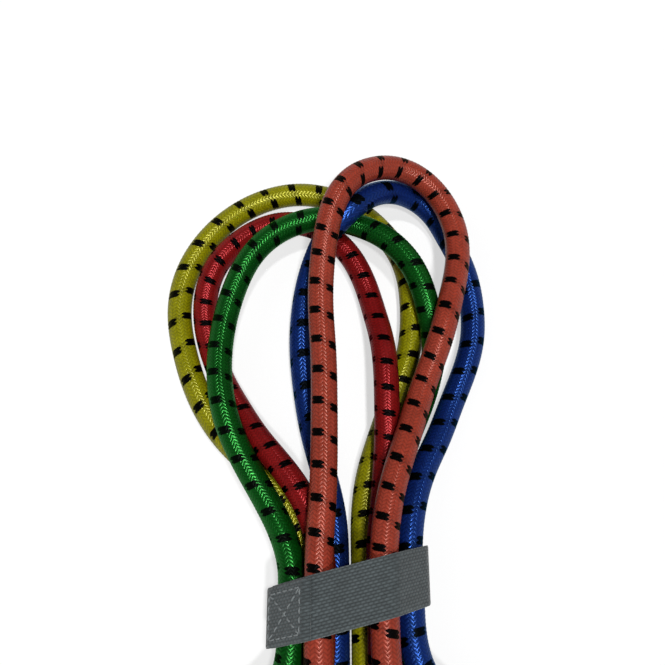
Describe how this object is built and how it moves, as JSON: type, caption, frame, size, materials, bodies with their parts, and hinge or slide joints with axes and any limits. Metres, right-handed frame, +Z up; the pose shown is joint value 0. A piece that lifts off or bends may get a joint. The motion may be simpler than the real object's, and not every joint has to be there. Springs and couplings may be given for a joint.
{
  "type": "bundled bungee cord set",
  "caption": "Braided elastic cords folded into overlapping loops, gathered by a webbing band, with ferruled tails that stretch and end in wound wire hooks.",
  "frame": {"origin": "centre of the flat underside of the webbing band, on the surface that the bundle lies on", "axes": "+Y from the band towards the loops, -Y towards the hooks, +Z up from the surface, +X to the right as the bundle is seen from its hook end"},
  "size_m": [0.2398, 0.3226, 0.0408],
  "materials": {
    "webbing": "woven dark grey webbing",
    "rubber_core": "natural latex strands",
    "hook_wire": "zinc-plated spring wire",
    "ferrule": "zinc-plated, crimped",
    "tip_cap": "soft black vinyl",
    "braid_coral": "brick-coral braid with black tracer marks",
    "braid_blue": "blue braid with black tracer marks",
    "braid_green": "green braid with black tracer marks",
    "braid_red": "deep red braid with black tracer marks",
    "braid_yellow": "mustard yellow braid with black tracer marks"
  },
  "bodies": {
    "bundle": {"binding_band": "webbing", "coral_sheath_loop": "braid_coral", "coral_rubber_core": "rubber_core", "coral_sheath_left_tail": "braid_coral", "coral_sheath_right_tail": "braid_coral", "blue_sheath_loop": "braid_blue", "blue_rubber_core": "rubber_core", "blue_sheath_left_tail": "braid_blue", "blue_sheath_right_tail": "braid_blue", "green_sheath_loop": "braid_green", "green_rubber_core": "rubber_core", "green_sheath_left_tail": "braid_green", "green_sheath_right_tail": "braid_green", "red_sheath_loop": "braid_red", "red_rubber_core": "rubber_core", "red_sheath_left_tail": "braid_red", "red_sheath_right_tail": "braid_red", "yellow_sheath_loop": "braid_yellow", "yellow_rubber_core": "rubber_core", "yellow_sheath_left_tail": "braid_yellow", "yellow_sheath_right_tail": "braid_yellow"},
    "coral_left_end": {"coral_left_ferrule": "ferrule"},
    "coral_left_swivel_hook": {"coral_left_hook": "hook_wire", "coral_left_tip_cap": "tip_cap"},
    "coral_right_end": {"coral_right_ferrule": "ferrule"},
    "coral_right_swivel_hook": {"coral_right_hook": "hook_wire", "coral_right_tip_cap": "tip_cap"},
    "blue_left_end": {"blue_left_ferrule": "ferrule"},
    "blue_left_swivel_hook": {"blue_left_hook": "hook_wire", "blue_left_tip_cap": "tip_cap"},
    "blue_right_end": {"blue_right_ferrule": "ferrule"},
    "blue_right_swivel_hook": {"blue_right_hook": "hook_wire", "blue_right_tip_cap": "tip_cap"},
    "green_left_end": {"green_left_ferrule": "ferrule"},
    "green_left_swivel_hook": {"green_left_hook": "hook_wire", "green_left_tip_cap": "tip_cap"},
    "green_right_end": {"green_right_ferrule": "ferrule"},
    "green_right_swivel_hook": {"green_right_hook": "hook_wire", "green_right_tip_cap": "tip_cap"},
    "red_left_end": {"red_left_ferrule": "ferrule"},
    "red_left_swivel_hook": {"red_left_hook": "hook_wire", "red_left_tip_cap": "tip_cap"},
    "red_right_end": {"red_right_ferrule": "ferrule"},
    "red_right_swivel_hook": {"red_right_hook": "hook_wire", "red_right_tip_cap": "tip_cap"},
    "yellow_left_end": {"yellow_left_ferrule": "ferrule"},
    "yellow_left_swivel_hook": {"yellow_left_hook": "hook_wire", "yellow_left_tip_cap": "tip_cap"},
    "yellow_right_end": {"yellow_right_ferrule": "ferrule"},
    "yellow_right_swivel_hook": {"yellow_right_hook": "hook_wire", "yellow_right_tip_cap": "tip_cap"}
  },
  "joints": [
    {"name": "coral_left_stretch", "type": "slide", "parent": "bundle", "child": "coral_left_end", "axis": [-0.4234, -0.9059, 0], "range_m": [0, 0.08], "stiffness_N_per_m": 1300, "deforming": ["coral_sheath_left_tail"]},
    {"name": "coral_left_swivel", "type": "hinge", "parent": "coral_left_end", "child": "coral_left_swivel_hook", "pos_m": [-0.0434, -0.12086, 0.0095], "axis": [-0.4234, -0.9059, 0], "continuous": true},
    {"name": "coral_right_stretch", "type": "slide", "parent": "bundle", "child": "coral_right_end", "axis": [0.6659, -0.7461, 0], "range_m": [0, 0.08], "stiffness_N_per_m": 1300, "deforming": ["coral_sheath_right_tail"]},
    {"name": "coral_right_swivel", "type": "hinge", "parent": "coral_right_end", "child": "coral_right_swivel_hook", "pos_m": [0.06825, -0.10447, 0.0095], "axis": [0.6659, -0.7461, 0], "continuous": true},
    {"name": "blue_left_stretch", "type": "slide", "parent": "bundle", "child": "blue_left_end", "axis": [-0.1452, -0.9894, 0], "range_m": [0, 0.08], "stiffness_N_per_m": 1300, "deforming": ["blue_sheath_left_tail"]},
    {"name": "blue_left_swivel", "type": "hinge", "parent": "blue_left_end", "child": "blue_left_swivel_hook", "pos_m": [-0.01489, -0.12941, 0.0095], "axis": [-0.1452, -0.9894, 0], "continuous": true},
    {"name": "blue_right_stretch", "type": "slide", "parent": "bundle", "child": "blue_right_end", "axis": [0.9666, -0.2563, 0], "range_m": [0, 0.08], "stiffness_N_per_m": 1300, "deforming": ["blue_sheath_right_tail"]},
    {"name": "blue_right_swivel", "type": "hinge", "parent": "blue_right_end", "child": "blue_right_swivel_hook", "pos_m": [0.09908, -0.05427, 0.0095], "axis": [0.9666, -0.2563, 0], "continuous": true},
    {"name": "green_left_stretch", "type": "slide", "parent": "bundle", "child": "green_left_end", "axis": [-0.9666, -0.2563, 0], "range_m": [0, 0.08], "stiffness_N_per_m": 1300, "deforming": ["green_sheath_left_tail"]},
    {"name": "green_left_swivel", "type": "hinge", "parent": "green_left_end", "child": "green_left_swivel_hook", "pos_m": [-0.09908, -0.05427, 0.0095], "axis": [-0.9666, -0.2563, 0], "continuous": true},
    {"name": "green_right_stretch", "type": "slide", "parent": "bundle", "child": "green_right_end", "axis": [0.8522, -0.5232, 0], "range_m": [0, 0.08], "stiffness_N_per_m": 1300, "deforming": ["green_sheath_right_tail"]},
    {"name": "green_right_swivel", "type": "hinge", "parent": "green_right_end", "child": "green_right_swivel_hook", "pos_m": [0.08735, -0.08163, 0.0095], "axis": [0.8522, -0.5232, 0], "continuous": true},
    {"name": "red_left_stretch", "type": "slide", "parent": "bundle", "child": "red_left_end", "axis": [-0.6659, -0.7461, 0], "range_m": [0, 0.08], "stiffness_N_per_m": 1300, "deforming": ["red_sheath_left_tail"]},
    {"name": "red_left_swivel", "type": "hinge", "parent": "red_left_end", "child": "red_left_swivel_hook", "pos_m": [-0.06825, -0.10447, 0.0095], "axis": [-0.6659, -0.7461, 0], "continuous": true},
    {"name": "red_right_stretch", "type": "slide", "parent": "bundle", "child": "red_right_end", "axis": [0.4234, -0.9059, 0], "range_m": [0, 0.08], "stiffness_N_per_m": 1300, "deforming": ["red_sheath_right_tail"]},
    {"name": "red_right_swivel", "type": "hinge", "parent": "red_right_end", "child": "red_right_swivel_hook", "pos_m": [0.0434, -0.12086, 0.0095], "axis": [0.4234, -0.9059, 0], "continuous": true},
    {"name": "yellow_left_stretch", "type": "slide", "parent": "bundle", "child": "yellow_left_end", "axis": [-0.8522, -0.5232, 0], "range_m": [0, 0.08], "stiffness_N_per_m": 1300, "deforming": ["yellow_sheath_left_tail"]},
    {"name": "yellow_left_swivel", "type": "hinge", "parent": "yellow_left_end", "child": "yellow_left_swivel_hook", "pos_m": [-0.08735, -0.08163, 0.0095], "axis": [-0.8522, -0.5232, 0], "continuous": true},
    {"name": "yellow_right_stretch", "type": "slide", "parent": "bundle", "child": "yellow_right_end", "axis": [0.1452, -0.9894, 0], "range_m": [0, 0.08], "stiffness_N_per_m": 1300, "deforming": ["yellow_sheath_right_tail"]},
    {"name": "yellow_right_swivel", "type": "hinge", "parent": "yellow_right_end", "child": "yellow_right_swivel_hook", "pos_m": [0.01489, -0.12941, 0.0095], "axis": [0.1452, -0.9894, 0], "continuous": true}
  ]
}
